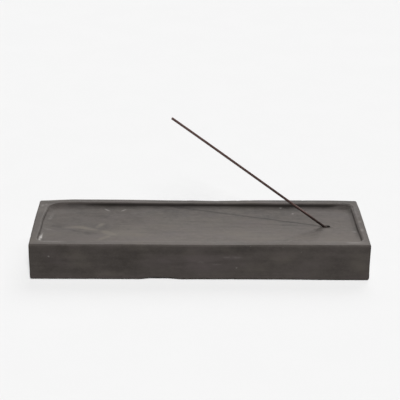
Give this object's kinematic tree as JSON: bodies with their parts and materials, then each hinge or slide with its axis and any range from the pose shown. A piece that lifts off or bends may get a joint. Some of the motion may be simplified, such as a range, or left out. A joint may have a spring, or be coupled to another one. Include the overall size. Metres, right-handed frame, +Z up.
{
  "type": "incense stick holder",
  "caption": "Oblong dark stone tray with a shallow ash recess and a slanting bore near one end, on cork feet, holding a thin pull-out incense stick that leans over the recess.",
  "frame": {"origin": "on the table, under the middle of the tray", "axes": "+X along the tray towards the end with the bore, +Y towards the back, +Z up"},
  "size_m": [0.22, 0.0826, 0.0984],
  "materials": {
    "stone": "honed, matt to satin, warm dark grey with soft mottling",
    "incense": "dry pressed powder, dark red-brown",
    "cork": "fine granular cork sheet"
  },
  "bodies": {
    "tray": {"tray": "stone", "cork_foot_front_left": "cork", "cork_foot_front_right": "cork", "cork_foot_back_left": "cork", "cork_foot_back_right": "cork"},
    "stick": {"incense_stick": "incense"}
  },
  "joints": [
    {"name": "stick_pull", "type": "slide", "parent": "tray", "child": "stick", "axis": [-0.8043, 0, 0.5942], "range_m": [0, 0.03]}
  ]
}
